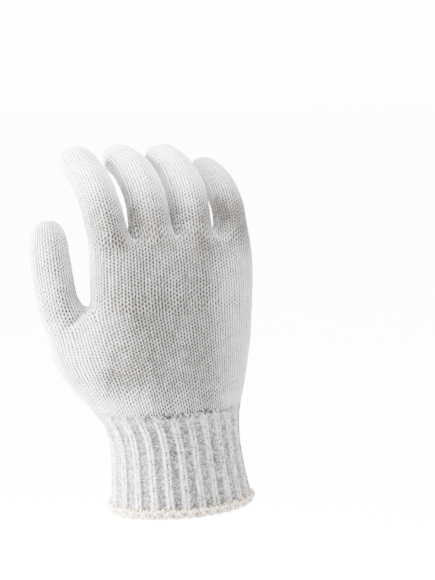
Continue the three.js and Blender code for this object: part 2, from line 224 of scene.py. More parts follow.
def ring(section, half, to_point):
    """Whole ring of a section, moved outward until the smoothed skin runs through its points."""
    flat = np.concatenate([half_ring(section, 0, half), half_ring(section, math.pi, half)])
    targets = to_point(flat[:, 0], flat[:, 1])
    points = targets.copy()
    for _ in range(4):
        smooth = (np.roll(points, 1, 0) + 4 * points + np.roll(points, -1, 0)) / 6
        points = points + targets - smooth
    return points


def finger_axes(lean, curl):
    """Axes of a finger's section from its lean toward the thumb and its curl."""
    lean, curl = math.radians(lean), math.radians(curl)
    across = np.array([math.cos(lean), 0, math.sin(lean)])
    upright = np.array([-math.sin(lean), 0, math.cos(lean)])
    palmward = np.array([0, 1.0, 0])
    along = upright * math.cos(curl) + palmward * math.sin(curl)
    inward = palmward * math.cos(curl) - upright * math.sin(curl)
    return across, along, inward


class Cage:
    """Points and four-sided faces that the skin is smoothed from, with the stitches on each face."""

    def __init__(self):
        self.points = []
        self.corners = []
        self.stitches = []
        self.pieces = []

    def add(self, points):
        first = len(self.points)
        self.points.extend(points)
        return list(range(first, len(self.points)))

    def face(self, corners, stitches, piece):
        self.corners.append(corners)
        self.stitches.append(stitches)
        self.pieces.append(piece)

    def join(self, lower, upper, piece, wales, course, courses):
        """A band of faces between two rings, wales round it and courses up it."""
        for i, a in enumerate(lower):
            after = (i + 1) % len(lower)
            low, high = course, course + courses
            stitches = [(wales[i], low), (wales[i + 1], low), (wales[i + 1], high), (wales[i], high)]
            self.face([a, lower[after], upper[after], upper[i]], stitches, piece)


def counted(half):
    """Wales from the first corner of a ring to each of its corners."""
    return np.concatenate([[0], np.cumsum(half + half)])


def ring_at(centre, axes, section, half):
    across, _, inward = axes
    return ring(section, half, lambda a, d: centre + np.outer(a, across) + np.outer(d, inward))


def add_finger(cage, base, name, sizes, sections, courses, start, course):
    """Rings along a finger's bent middle line, from its base ring to its closed tip."""
    length, width, thickness = sizes
    wales = counted(FINGER_HALF)
    centre, below, reached = np.array(start), base, 0.0
    for i, (share, wide, thick, lean, curl, dent) in enumerate(sections):
        axes = finger_axes(lean, curl)
        centre = centre + axes[1] * (share - reached) * length
        reached = share
        half = thickness * thick / 2
        section = (width * wide / 2, half, half * (1 - dent), 0, FINGER_SQUARENESS)
        here = cage.add(ring_at(centre, axes, section, FINGER_HALF))
        cage.join(below, here, name if i else "hand_body", wales, course, courses[i])
        below, course = here, course + courses[i]
    tip = cage.add([centre + axes[1] * (1 - reached) * length])[0]
    fold = course + TIP_FOLD
    for k in (1, 3, 5, 7):
        before, after = below[k - 1], below[(k + 1) % 8]
        if k in (1, 5):
            stitches = [(wales[k], fold), (wales[k], course), (wales[k + 1], course), (wales[k + 1], fold)]
        else:
            stitches = [(wales[k - 1], course), (wales[k], course), (wales[k], fold), (wales[k - 1], fold)]
        cage.face([before, below[k], after, tip], stitches, name)


def hand_ring(row):
    """Ring of the hand between the thumb's fork and the crotches."""
    way, shift, lean, width, back, palm, hollow = row
    half_width = PALM_WIDTH * width / 2
    back, palm = PALM_THICKNESS * back, PALM_THICKNESS * palm
    section = (half_width, back, palm, PALM_HOLLOW * hollow, HAND_SQUARENESS)

    def to_point(a, d):
        arch = KNUCKLE_ARCH * way * (a / half_width) ** 2
        height = RIB_TOP + PALM_LENGTH * (THUMB_FORK + (1 - THUMB_FORK) * way)
        x = a + CUFF_SHIFT_ACROSS + shift * PALM_WIDTH
        return np.stack([x, d + CUFF_SHIFT_PALMWARD + lean * PALM_THICKNESS, height - arch], 1)

    return ring(section, HAND_HALF, to_point)


def wrist_ring():
    """Ring where the ribbing ends and the hand begins."""
    _, width, depth, _ = CUFF_SECTIONS[-1]
    half = CUFF_DEPTH * depth / 2

    def to_point(a, d):
        return np.stack([a + CUFF_SHIFT_ACROSS, d + CUFF_SHIFT_PALMWARD, np.full(len(a), RIB_TOP)], 1)

    return ring((CUFF_WIDTH * width / 2, half, half, 0, CUFF_SQUARENESS), WRIST_HALF, to_point)


def hand_cage():
    """The whole hand's cage: the wrist, the fork of the thumb, the palm and the five stalls."""
    cage = Cage()
    fork_ring = hand_ring(HAND_SECTIONS[0])
    thumb_centre = np.array([
        CUFF_SHIFT_ACROSS - PALM_WIDTH / 2 - THUMB_REACH + THUMB_WIDTH / 4,
        THUMB_PALMWARD,
        RIB_TOP + PALM_LENGTH * THUMB_FORK - THUMB_DROP,
    ])
    first = THUMB_SECTIONS[0]
    half = THUMB_THICKNESS * THUMB_BASE_FLARE / 2
    section = (THUMB_WIDTH * THUMB_BASE_FLARE / 2, half, half, 0, FINGER_SQUARENESS)
    axes = finger_axes(first[3] + THUMB_BASE_LEAN, first[4])
    thumb_base = ring_at(thumb_centre, axes, section, FINGER_HALF)
    fork_row = np.concatenate([fork_ring[:10], thumb_base[2:7], fork_ring[11:]])
    wrist = wrist_ring()
    wales = counted(WRIST_HALF)
    index = np.arange(24)
    lower, course = None, 0
    for (way, ball, heel, side, edge), courses in zip(FORK_ROWS, [0, *FORK_COURSES]):
        points = wrist + (fork_row - wrist) * way
        points[:, 1] += np.where((index >= 8) & (index <= 11), ball * THUMB_BALL, 0)
        points[:, 1] += np.where((index >= 1) & (index <= 3), heel * HEEL_SWELL, 0)
        points[:, 0] += np.where((index <= 1) | (index == 23), side * SIDE_SWELL, 0)
        points[:, 0] -= np.maximum(0, 1 - (index - 12) ** 2 / 12) * edge * THUMB_EDGE_SWELL
        here = cage.add(points)
        if lower:
            cage.join(lower, here, "hand_body", wales, course, courses)
        lower, course = here, course + courses
    fork = cage.add(fork_row)
    cage.join(lower, fork, "hand_body", wales, course, FORK_COURSES[-1])
    course += FORK_COURSES[-1]
    bridge = cage.add([fork_ring[10]])[0]
    upper = [*fork[:10], bridge, *fork[15:]]
    thumb_start = [bridge, *fork[9:16]]
    thumb_sizes = (THUMB_LENGTH, THUMB_WIDTH, THUMB_THICKNESS)
    add_finger(cage, thumb_start, "thumb", thumb_sizes, THUMB_SECTIONS, THUMB_COURSES, thumb_centre, course)
    wales = counted(HAND_HALF)
    for row, courses in zip(HAND_SECTIONS[1:], HAND_COURSES):
        here = cage.add(hand_ring(row))
        cage.join(upper, here, "hand_body", wales, course, courses)
        upper, course = here, course + courses
    top = hand_ring(HAND_SECTIONS[-1])
    middles = [(top[k] + top[20 - k]) / 2 - [0, 0, CROTCH_DROP] for k in (3, 5, 7)]
    bridges = cage.add(middles)
    for n, (name, length, width, thickness, lean, curl) in enumerate(FINGERS):
        palm_side, back_side = 1 + 2 * n, 17 - 2 * n
        little = bridges[n - 1] if n else upper[0]
        thumbward = upper[10] if n == 3 else bridges[n]
        base = [little, *upper[palm_side:palm_side + 3], thumbward, *upper[back_side:back_side + 3]]
        around = [palm_side, palm_side + 2, back_side, (back_side + 2) % 20]
        sizes = (FINGER_LENGTH * length, FINGER_WIDTH * width, FINGER_THICKNESS * thickness)
        rows = [(a, w, t, lean, c * FINGER_CURL * curl, d) for a, w, t, c, d in FINGER_SECTIONS]
        add_finger(cage, base, name, sizes, rows, FINGER_COURSES, top[around].mean(0), course)
    return cage


def smoothed(points, faces):
    """One round of smoothing: every face is parted in four and the points are averaged."""
    n = len(points)
    centres = points[faces].mean(1)
    ends = np.stack([faces, np.roll(faces, -1, 1)], 2)
    keys = ends.min(2) * n + ends.max(2)
    unique, inverse, counts = np.unique(keys.ravel(), return_inverse=True, return_counts=True)
    inverse = inverse.reshape(keys.shape)
    a, b = unique // n, unique % n
    middles = (points[a] + points[b]) / 2
    beside = np.zeros_like(middles)
    np.add.at(beside, inverse.ravel(), np.repeat(centres, 4, 0))
    inside = (counts == 2)[:, None]
    edge_points = np.where(inside, (2 * middles + beside) / 4, middles)
    valence = np.bincount(faces.ravel(), minlength=n)[:, None]
    around, legs, rim = np.zeros((n, 3)), np.zeros((n, 3)), np.zeros((n, 3))
    np.add.at(around, faces.ravel(), np.repeat(centres, 4, 0))
    for end in (a, b):
        np.add.at(legs, end, middles)
        np.add.at(rim, end, np.where(inside, 0, middles))
    joined = (np.bincount(a, minlength=n) + np.bincount(b, minlength=n))[:, None]
    open_ends = ~inside[:, 0]
    rims = (np.bincount(a[open_ends], minlength=n) + np.bincount(b[open_ends], minlength=n))[:, None]
    moved = (around / valence + 2 * legs / joined + (valence - 3) * points) / valence
    moved = np.where(rims == 2, (2 * points + rim) / 4, moved)
    edge = n + inverse
    centre = n + len(unique) + np.arange(len(faces))
    parts = [
        (faces[:, 0], edge[:, 0], centre, edge[:, 3]),
        (edge[:, 0], faces[:, 1], edge[:, 1], centre),
        (centre, edge[:, 1], faces[:, 2], edge[:, 2]),
        (edge[:, 3], centre, edge[:, 2], faces[:, 3]),
    ]
    new_faces = np.stack([np.stack(part, 1) for part in parts], 1).reshape(-1, 4)
    return np.concatenate([moved, edge_points, centres]), new_faces


def skin_grids(cage, rounds=3):
    """Smooth skin points, their outward directions, and a grid of point numbers for each cage face."""
    points, faces = np.array(cage.points), np.array(cage.corners)
    cells = np.zeros((len(faces), 2), int)
    owner = np.arange(len(faces))
    for _ in range(rounds):
        points, faces = smoothed(points, faces)
        cells = (cells[:, None] * 2 + np.array([(0, 0), (1, 0), (1, 1), (0, 1)])).reshape(-1, 2)
        owner = np.repeat(owner, 4)
    size = 2**rounds
    grids = np.zeros((len(cage.corners), size + 1, size + 1), int)
    for corner, (di, dj) in enumerate([(0, 0), (1, 0), (1, 1), (0, 1)]):
        grids[owner, cells[:, 1] + dj, cells[:, 0] + di] = faces[:, corner]
    facing = np.cross(points[faces[:, 2]] - points[faces[:, 0]], points[faces[:, 3]] - points[faces[:, 1]])
    outward = np.zeros_like(points)
    for corner in range(4):
        np.add.at(outward, faces[:, corner], facing)
    return points, outward / np.linalg.norm(outward, axis=1, keepdims=True), grids


def smooth_noise(points, cell, seed):
    """Soft noise from -1 to 1 with the given cell size, the same on every run."""
    place = points / cell + 19.7 * seed
    base = np.floor(place).astype(np.int64)
    part = place - base
    part = part * part * (3 - 2 * part)
    total = np.zeros(len(points))
    for corner in np.ndindex(2, 2, 2):
        x, y, z = (base + corner).T
        mixed = (x * 73856093 ^ y * 19349663 ^ z * 83492791) & 0xFFFFFF
        value = ((mixed * 2654435761 + 12345) >> 9 & 0xFFFF) / 32767.5 - 1
        total += value * np.prod(np.where(corner, part, 1 - part), axis=1)
    return total


def wrapped(distance):
    """Distance to the nearest whole number."""
    return distance - np.round(distance)


def smooth_step(low, high, value):
    """Soft step from 0 to 1, falling when low is above high."""
    t = np.clip((value - low) / (high - low), 0, 1)
    return t * t * (3 - 2 * t)


def yarn_height(x, y, slant=LEG_SLANT, width=LEG_WIDTH, length=LEG_LENGTH):
    """Height of the stitch's two legs; x from the wale's middle, y up the course, both in stitches."""
    height = np.zeros(len(x))
    for course in (-1, 0, 1):
        along = y - 0.5 - course
        aside = np.abs(x) - 0.25 - slant * along
        height = np.maximum(height, 1 - (aside / width) ** 2 - (along / length) ** 2)
    return np.sqrt(height)


def openness_and_shade(at):
    """How far the knitting is stretched open, by places in millimetres, with some painted shade in it.

    It is 1 on the middle of the back, and more on the back's thumb side and on the backs of the finger roots.
    It is less on the little finger's side, the thumb and its ball, the fingertips and the heel. The extra
    opening on the lower backs of the ring and little fingers, and the little finger being spared the side's
    lessening,
    make them darker: partly real stretched knitting, partly painted shade from the neighbouring finger."""
    x, y, z = at.T
    # This lessening stops below the little finger, so the little finger stays more open and darker: painted
    # shade from the ring finger
    edge = 0.55 * smooth_step(4, 36, x) * (1 - smooth_step(150, 170, z))
    ball = 0.55 * smooth_step(44, 58, -x) * (1 - smooth_step(104, 126, z))
    thumb = 0.3 * smooth_step(52, 62, -x)
    tips = 0.6 * smooth_step(170, 196, z) * (1 - 0.7 * smooth_step(16, 32, x))
    heel = (0.15 + 0.5 * smooth_step(14, 30, np.abs(x + 4))) * (1 - smooth_step(62, 82, z))
    # Partly painted shade: the lower backs of the ring and little fingers are more open and darker, for real
    # stretch and for the shade of the neighbouring finger
    outer_fingers_open_and_shaded = 0.4 * smooth_step(4, 20, x) * smooth_step(138, 150, z) * (1 - smooth_step(166, 190, z))
    finger_roots = 0.2 * smooth_step(146, 156, z) * (1 - smooth_step(166, 178, z))
    slack = 0.2 * smooth_step(10, 24, -x) * (1 - smooth_step(44, 52, -x)) * smooth_step(66, 80, z)
    slack *= 1 - smooth_step(122, 138, z)
    bent = smooth_step(3, -7, y - 11 - 0.46 * (z - 160)) * (outer_fingers_open_and_shaded + finger_roots)
    return 1 + bent + slack - np.maximum.reduce([edge, ball, thumb, tips, heel])


def knit_relief(wale, course, at):
    """Relief of plain knitting from 0 in its holes to 1 on its yarn. It sets the skin's height, and its low
    values in the holes and in the furrows between wales also take the dark gap tone, which is painted shade.
    """
    wale = wale + 0.07 * smooth_noise(at, 7.0, 1) + 0.05 * smooth_noise(at, 2.6, 2)
    course = course + 0.16 * smooth_noise(at, 3.4, 3)
    x = wale - np.floor(wale) - 0.5
    y = course - np.floor(course)
    yarn = yarn_height(x, y)
    loose = 0.5 + 0.5 * smooth_noise(at * [1, 1, 0.6], 2.4, 4)
    broad = 0.5 + 0.5 * smooth_noise(at, 17, 5)
    open_and_shaded = openness_and_shade(at) * (0.82 + 0.26 * broad)
    tall = 0.31 + 0.1 * open_and_shaded
    wide = 0.17 + 0.1 * open_and_shaded
    # Holes and furrows are sunk, and through the gap tone their low relief also paints shade in them
    inner = np.exp(-((x / wide) ** 2) - (wrapped(y - 0.25) / tall) ** 2)
    outer = np.exp(-(((np.abs(x) - 0.5) / wide) ** 2) - (wrapped(y - 0.75) / tall) ** 2)
    pit = np.maximum(inner, outer) * (0.6 + 0.5 * open_and_shaded + 0.3 * loose)
    aside = np.minimum(np.abs(x), 0.5 - np.abs(x))
    furrow = (0.42 + 0.26 * open_and_shaded) * np.exp(-((aside / 0.11) ** 2))
    streak = np.clip(smooth_noise(at * [1, 1, 0.12], 2.6, 9) - 0.2, 0, 1)
    furrow += 0.8 * streak * np.exp(-((aside / 0.13) ** 2))
    grain = 0.09 * smooth_noise(at, 0.9, 8)
    return np.clip(0.45 + 0.55 * yarn - np.maximum(pit, furrow) + grain, 0, 1)


def crease_depth(at):
    """How far the skin sinks along the crease of the thumb's base, tapered to both its ends."""
    depth = np.zeros(len(at))
    for start, end in zip(CREASE[:-1], CREASE[1:]):
        along = np.clip((at - start) @ (end - start) / ((end - start) ** 2).sum(), 0, 1)
        off = np.linalg.norm(at - start - along[:, None] * (end - start), axis=1)
        depth = np.maximum(depth, np.exp(-((off / 1.9) ** 2)))
    taper = 1 - smooth_step(0.3, 1.0, (CREASE[0, 2] - at[:, 2]) / (CREASE[0, 2] - CREASE[-1, 2]))
    return CREASE_DEPTH * depth * taper


def make_piece(name, points, faces, relief):
    """A new object from points in millimetres, with the relief kept for its material."""
    mesh = bpy.data.meshes.new(name)
    mesh.from_pydata((points * MM).tolist(), [], faces)
    mesh.attributes.new("relief", "FLOAT", "POINT").data.foreach_set("value", relief.astype(np.float32))
    mesh.shade_smooth()
    piece = bpy.data.objects.new(name, mesh)
    bpy.context.scene.collection.objects.link(piece)
    return piece


def zipped(outer, inner):
    """Triangles between two rows of points that run the same way, the first one on the outside."""
    triangles = []
    i = j = 0
    while i < len(outer) - 1 or j < len(inner) - 1:
        outer_behind = (i + 1) * (len(inner) - 1) <= (j + 1) * (len(outer) - 1)
        if j == len(inner) - 1 or (i < len(outer) - 1 and outer_behind):
            triangles.append([outer[i + 1], outer[i], inner[j]])
            i += 1
        else:
            triangles.append([outer[i], inner[j], inner[j + 1]])
            j += 1
    return triangles


def quads_of(grid, inward=False):
    """Faces between the points of a grid, turned over where they face inward."""
    a, b, c, d = grid[:-1, :-1], grid[:-1, 1:], grid[1:, 1:], grid[1:, :-1]
    return np.stack([a, d, c, b] if inward else [a, b, c, d], 2).reshape(-1, 4).tolist()


def sides_of(grid):
    """Rows of a grid's four sides, in the order of its corners."""
    return [grid[0, :], grid[:, -1], grid[-1, ::-1], grid[::-1, 0]]


class Dicer:
    """Cuts the smooth skin into samples that follow its stitches, and shares those on common edges."""

    def __init__(self, points, outward):
        self.points, self.outward = points, outward
        self.place, self.facing, self.stitch = [], [], []
        self.known = {}

    def sample(self, grid, stitches, counts):
        """Adds one face's samples and gives their numbers as a grid."""
        across, up = counts
        size = len(grid) - 1
        s, t = np.linspace(0, size, across + 1), np.linspace(0, size, up + 1)
        i, j = np.minimum(s.astype(int), size - 1), np.minimum(t.astype(int), size - 1)
        fs, ft = (s - i)[None, :, None], (t - j)[:, None, None]

        def mixed(values):
            v = values[grid]
            low = v[j][:, i] * (1 - fs) + v[j][:, i + 1] * fs
            high = v[j + 1][:, i] * (1 - fs) + v[j + 1][:, i + 1] * fs
            return low * (1 - ft) + high * ft

        corners = np.array(stitches, float)
        ps, pt = (s / size)[None, :, None], (t / size)[:, None, None]
        low = corners[0] * (1 - ps) + corners[1] * ps
        high = corners[3] * (1 - ps) + corners[2] * ps
        place, facing, stitch = mixed(self.points), mixed(self.outward), low * (1 - pt) + high * pt
        numbers = np.zeros((up + 1, across + 1), int)
        for row in range(up + 1):
            for column in range(across + 1):
                edge = row in (0, up) or column in (0, across)
                key = self.key(grid, s[column], t[row]) if edge else None
                if key in self.known:
                    numbers[row, column] = self.known[key]
                    continue
                numbers[row, column] = len(self.place)
                self.place.append(place[row, column])
                self.facing.append(facing[row, column])
                self.stitch.append(stitch[row, column])
                if edge:
                    self.known[key] = numbers[row, column]
        return numbers

    @staticmethod
    def key(grid, s, t):
        """Name of a place on a face's edge that its neighbour gives too."""
        i, j = int(s + 1e-9), int(t + 1e-9)
        fs, ft = s - i, t - j
        if abs(fs) < 1e-6 and abs(ft) < 1e-6:
            return (grid[j, i],)
        if abs(fs) >= 1e-6:
            a, b, part = grid[j, i], grid[j, i + 1], fs
        else:
            a, b, part = grid[j, i], grid[j + 1, i], ft
        return (a, b, round(part * 1000)) if a < b else (b, a, round((1 - part) * 1000))


def knitted_piece(name, cage, points, outward, grids):
    """One run of knitting: its outside with every stitch, its inside, and its open rims."""
    own = [k for k, piece in enumerate(cage.pieces) if piece == name]
    dicer = Dicer(points, outward)
    faces, edges, inner_faces = [], {}, []
    lined = {}

    def lining(number):
        return lined.setdefault(int(number), len(lined))

    for k in own:
        grid, stitches = grids[k], cage.stitches[k]
        corners = cage.corners[k]
        spans = np.abs(np.diff(np.array(stitches + stitches[:1], float), axis=0))
        # A side that runs along a wale is counted in courses, but a tip's short side keeps the ring's count
        if spans[0][1] == TIP_FOLD:
            counts = (int(SIDE * ACROSS_WALE), int(FACE * ACROSS_WALE))
        elif spans[1][1] == TIP_FOLD:
            counts = (int(FACE * ACROSS_WALE), int(SIDE * ACROSS_WALE))
        else:
            counts = (round(spans[0][0] * ACROSS_WALE), round(spans[1][1] * UP_COURSE))
        numbers = dicer.sample(grid, stitches, counts)
        faces.extend(quads_of(numbers))
        coarse = grid[:: len(grid) // 2, :: len(grid) // 2]
        inner = np.array([[lining(p) for p in row] for row in coarse])
        inner_faces.extend(quads_of(inner, inward=True))
        for side, (outer_row, inner_row) in enumerate(zip(sides_of(numbers), sides_of(inner))):
            a, b = corners[side], corners[(side + 1) % 4]
            if (b, a) in edges:
                del edges[(b, a)]
            else:
                edges[(a, b)] = (outer_row, inner_row)
    place, facing = np.array(dicer.place), np.array(dicer.facing)
    facing /= np.linalg.norm(facing, axis=1, keepdims=True)
    stitch = np.array(dicer.stitch)
    relief = knit_relief(stitch[:, 0], stitch[:, 1], place)
    swell = 0.25 * smooth_noise(place, 14, 6) + 0.12 * smooth_noise(place, 6, 7) - crease_depth(place)
    open_row = wrist_holes(place, RIB_TOP + 0.6, 0.8)
    relief = np.clip(relief - 0.45 * open_row, 0, 1)
    proud = YARN_PROUD - YARN_DEPTH * (1 - relief) + swell
    place = place + facing * proud[:, None]
    first = len(place)
    lining_points = np.array([points[p] - outward[p] * WALL for p in lined])
    faces.extend([[first + p for p in quad] for quad in inner_faces])
    for outer_row, inner_row in edges.values():
        faces.extend(zipped(outer_row.tolist(), (inner_row + first).tolist()))
    place = np.concatenate([place, lining_points])
    # Painted shade: the lining's middling relief gives it a darker tone than the outer yarn, for the shade
    # inside the glove
    relief = np.concatenate([relief, np.full(len(lining_points), 0.55)])
    piece = make_piece(name + "_knit", place, faces, relief)
    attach(piece, "root")
    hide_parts(name)
    return piece


def cuff_size(share):
    """Half width, half depth and shift of the cuff at a share of its height, on one smooth curve."""
    rises, widths, depths, shifts = (np.array(column) for column in zip(*CUFF_SECTIONS))
    out = []
    for values, whole in ((widths, CUFF_WIDTH / 2), (depths, CUFF_DEPTH / 2), (shifts, CUFF_SHIFT_ACROSS)):
        slopes = np.gradient(values, rises)
        k = np.clip(np.searchsorted(rises, share) - 1, 0, len(rises) - 2)
        step = rises[k + 1] - rises[k]
        t = (share - rises[k]) / step
        low = values[k] * (1 + 2 * t) * (1 - t) ** 2 + slopes[k] * step * t * (1 - t) ** 2
        high = values[k + 1] * t * t * (3 - 2 * t) + slopes[k + 1] * step * t * t * (t - 1)
        out.append(whole * (low + high))
    return out


def cuff_share(height):
    """Share of the cuff's length at a height in millimetres."""
    return np.clip((height - EDGE_HEIGHT - PIECE_GAP) / CUFF_LENGTH, 0, 1)


def cuff_walk(share, count):
    """Points round the cuff, evenly spaced by length, and their outward directions."""
    half_width, half_depth, across = cuff_size(share)
    angles = np.linspace(0, 2 * math.pi, 1441)
    walk = np.stack([half_width * np.cos(angles), half_depth * np.sin(angles)], 1)
    lengths = np.concatenate([[0], np.cumsum(np.linalg.norm(np.diff(walk, axis=0), axis=1))])
    angle = np.interp(np.arange(count) / count * lengths[-1], lengths, angles)
    flat = np.stack([half_width * np.cos(angle), half_depth * np.sin(angle)], 1)
    normal = flat / [half_width**2, half_depth**2]
    normal /= np.linalg.norm(normal, axis=1, keepdims=True)
    return flat + [across, CUFF_SHIFT_PALMWARD * share], normal


def rib_surface(turn, height, at):
    """Inset in millimetres and relief of the ribbing; turn in ribs, height in millimetres. Through the gap
    tone the relief paints shade: darker in the purl recesses, the holes and the speckled top of the ribbing.
    """
    wander = 0.03 * smooth_noise(at, 9, 11) + 0.035 * smooth_noise(at, 1.5, 18)
    x = wrapped(turn - RIB_PHASE + wander)
    course = height / RIB_COURSE + 0.2 * smooth_noise(at, 3.0, 12)
    y = course - np.floor(course)
    fade = smooth_step(RIB_TOP - 9, RIB_TOP - 2.5, at[:, 2])
    recess = smooth_step(0.17, 0.27, np.abs(x))
    across = np.clip(x / 0.42, -0.5, 0.5)
    yarn = yarn_height(across, y, 0.2, 0.2, 0.95)
    loose = 0.5 + 0.5 * smooth_noise(at, 1.7, 13)
    hole = np.exp(-((across / 0.11) ** 2) - (wrapped(y - 0.25) / 0.3) ** 2)
    mottle = 0.3 * smooth_noise(at, 0.95, 19) + 0.12 * smooth_noise(at, 2.0, 20)
    knit = np.clip(0.3 + 0.42 * yarn - 0.85 * hole * loose + mottle, 0, 1)
    back = (np.abs(x) - 0.5) / 0.25
    fine = 1.3 * course
    outer = np.exp(-(((np.abs(back) - 0.62) / 0.22) ** 2) - (wrapped(fine) / 0.3) ** 2)
    middle = np.exp(-((back / 0.22) ** 2) - (wrapped(fine + 0.5) / 0.3) ** 2)
    grain = smooth_noise(at, 0.95, 14)
    pits = np.maximum(outer, middle) * (0.2 + 0.9 * loose)
    purl = np.clip(0.56 + 0.42 * grain - pits, 0, 1)
    inset = recess * (RIB_DEPTH * (1 - 0.75 * fade) - 0.4 * (purl - 0.5)) + (1 - recess) * 0.55 * (1 - knit)
    # Painted shade: the recess between ribs and its pits get a lower relief, so a darker tone, than the
    # raised wales
    relief = recess * (0.12 + 0.58 * purl) + (1 - recess) * knit
    speckled = 0.1 + 0.55 * np.clip(0.68 + 0.5 * grain - pits, 0, 1)
    relief = relief + (speckled - relief) * 0.85 * fade
    return inset, relief


def wrist_holes(at, level, reach):
    """Depth of the row of open stitches where the ribbing begins, strongest on the back of the wrist. It also
    lowers the relief there, so these holes take the dark gap tone as painted shade.
    """
    back = smooth_step(-2, -12, at[:, 1]) * (1 - smooth_step(14, 32, np.abs(at[:, 0] + 7)))
    torn = np.clip(1.1 * smooth_noise(at, 1.05, 15) + 0.4, 0, 1)
    line = level + 0.5 * smooth_noise(at, 5, 17)
    return np.exp(-(((at[:, 2] - line) / reach) ** 2)) * torn * (0.2 + 0.8 * back)


def ribbed_cuff():
    """The ribbing with its raised wales and sunk loops, closed at both ends and lined."""
    columns = RIB_COUNT * RIB_SAMPLES
    low, high = EDGE_HEIGHT - EDGE_OVERLAP, RIB_TOP - 0.05
    place, facing, turn = [], [], []
    for height in np.linspace(low, high, RIB_ROWS + 1):
        flat, normal = cuff_walk(cuff_share(height), columns)
        place.append(np.column_stack([flat, np.full(columns, height)]))
        facing.append(np.column_stack([normal, np.zeros(columns)]))
        turn.append(np.arange(columns) / RIB_SAMPLES)
    place, facing, turn = (np.concatenate(part) for part in (place, facing, turn))
    inset, relief = rib_surface(turn, place[:, 2] - low, place)
    rim = smooth_step(RIB_TOP - 3.2, RIB_TOP - 0.4, place[:, 2])
    open_row = wrist_holes(place, RIB_TOP - 1.1, 1.1)
    inset = inset * (1 - 0.6 * rim) + 0.25 * rim + 0.5 * open_row
    relief = np.clip(relief - 0.55 * open_row, 0, 1)
    inset += 0.15 * smooth_noise(place, 7, 16)
    place = place - facing * inset[:, None]
    numbers = np.arange(len(place)).reshape(RIB_ROWS + 1, columns)
    around = np.column_stack([numbers, numbers[:, 0]])
    faces = quads_of(around)
    lining = []
    for height in np.linspace(low, high, LINING_ROWS):
        flat, normal = cuff_walk(cuff_share(height), RIB_COUNT * LINING_SAMPLES)
        depth = np.tile([0, 0, RIB_DEPTH, RIB_DEPTH], RIB_COUNT) + WALL
        lining.append(np.column_stack([flat - normal * depth[:, None], np.full(len(flat), height)]))
    first = len(place)
    inner = first + np.arange(LINING_ROWS * RIB_COUNT * LINING_SAMPLES).reshape(LINING_ROWS, -1)
    inner = np.column_stack([inner, inner[:, 0]])
    faces += quads_of(inner, inward=True)
    faces += zipped(around[0].tolist(), inner[0].tolist())
    faces += zipped(around[-1, ::-1].tolist(), inner[-1, ::-1].tolist())
    place = np.concatenate([place, *lining])
    # Painted shade: the cuff's lining gets a middling relief, so a darker tone than the outer ribbing, for
    # the shade inside
    relief = np.concatenate([relief, np.full(len(place) - first, 0.5)])
    piece = make_piece("rib_cuff_knit", place, faces, relief)
    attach(piece, "root")
    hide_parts("rib_cuff")
    return piece


def edge_place(step, count):
    """Middle of the edge's cord at one step round it, with its outward and forward directions."""
    flat, normal = cuff_walk(0, count)
    middle = Vector((*(flat[step] - normal[step] * EDGE_INSET), EDGE_HEIGHT / 2))
    out = Vector((*normal[step], 0))
    return middle, out, Vector((-out.y, out.x, 0))


def thread_loop(name, thread, sides):
    """A closed loop of thread of radius 1, modelled once and copied round the edge."""
    bpy.ops.mesh.primitive_torus_add(
        major_radius=1.0, minor_radius=thread, major_segments=sides, minor_segments=10
    )
    loop = bpy.context.object
    loop.name = name
    bpy.ops.object.select_all(action="DESELECT")
    return loop


def placed_copy(loop, place):
    """A copy of a loop of thread with its own mesh, moved to its place on the edge."""
    copy = loop.copy()
    copy.data = loop.data.copy()
    copy.data.transform(place)
    bpy.context.scene.collection.objects.link(copy)
    return copy


